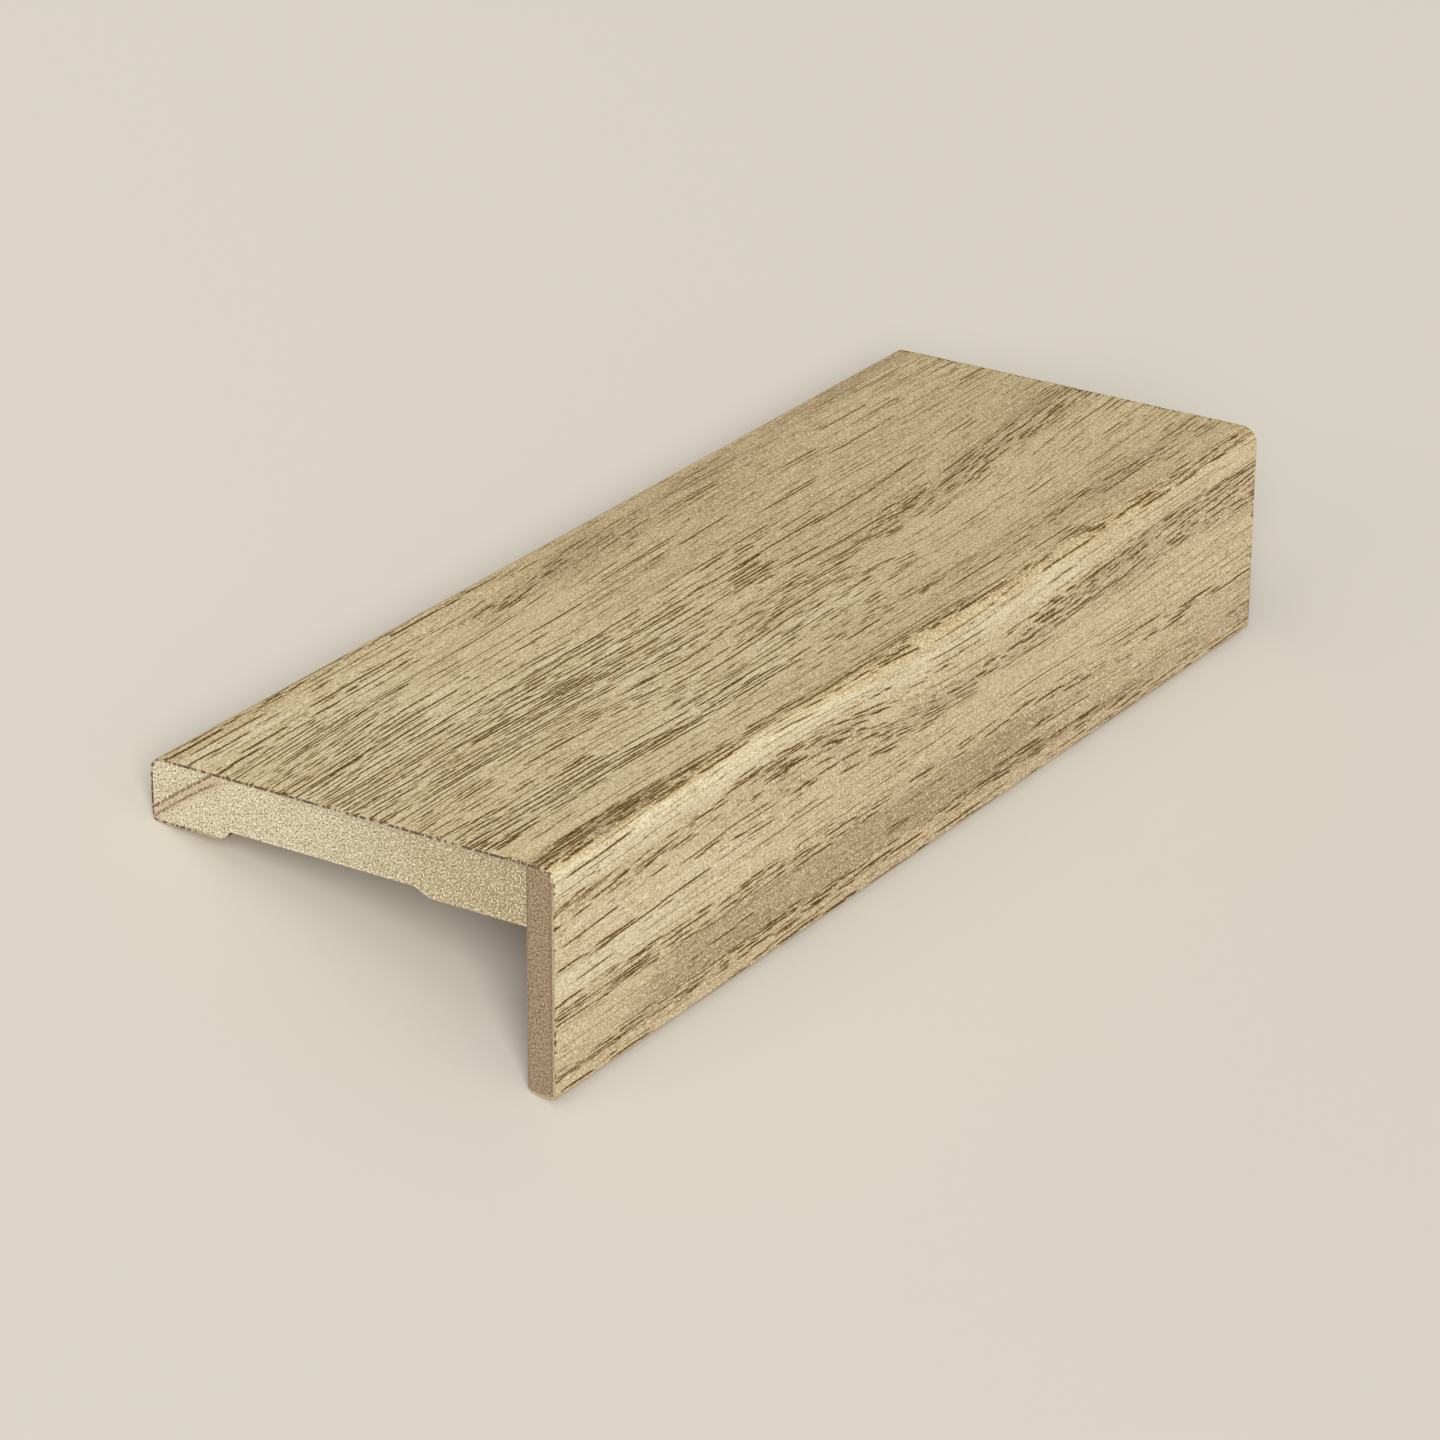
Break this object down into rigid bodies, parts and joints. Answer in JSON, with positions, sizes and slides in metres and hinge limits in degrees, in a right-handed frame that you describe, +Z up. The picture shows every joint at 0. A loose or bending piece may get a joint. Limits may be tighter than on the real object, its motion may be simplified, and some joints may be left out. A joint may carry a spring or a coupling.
{
  "type": "door threshold",
  "caption": "Length of veneered wooden threshold stock, L-shaped in section: a flat deck board with a relief channel under it and a front lip strip, wrapped in one oak-grained veneer.",
  "frame": {"origin": "on the floor, in the middle of the box of the part as it lies", "axes": "+Z up, +Y along the length of the stock, +X towards the front lip; the deck rises towards +X because the unheld length rests on its rear bottom corner and on the lip"},
  "size_m": [0.1104, 0.292, 0.048],
  "materials": {
    "board": "bare sawn end grain of a pale solid-wood board",
    "fibreboard": "bare sawn edge of brown fibreboard",
    "veneer": "satin oak-grained veneer with open dark pores along the length"
  },
  "bodies": {
    "root": {"deck_board": "board", "front_strip": "fibreboard", "veneer_wrap": "veneer"}
  },
  "joints": []
}
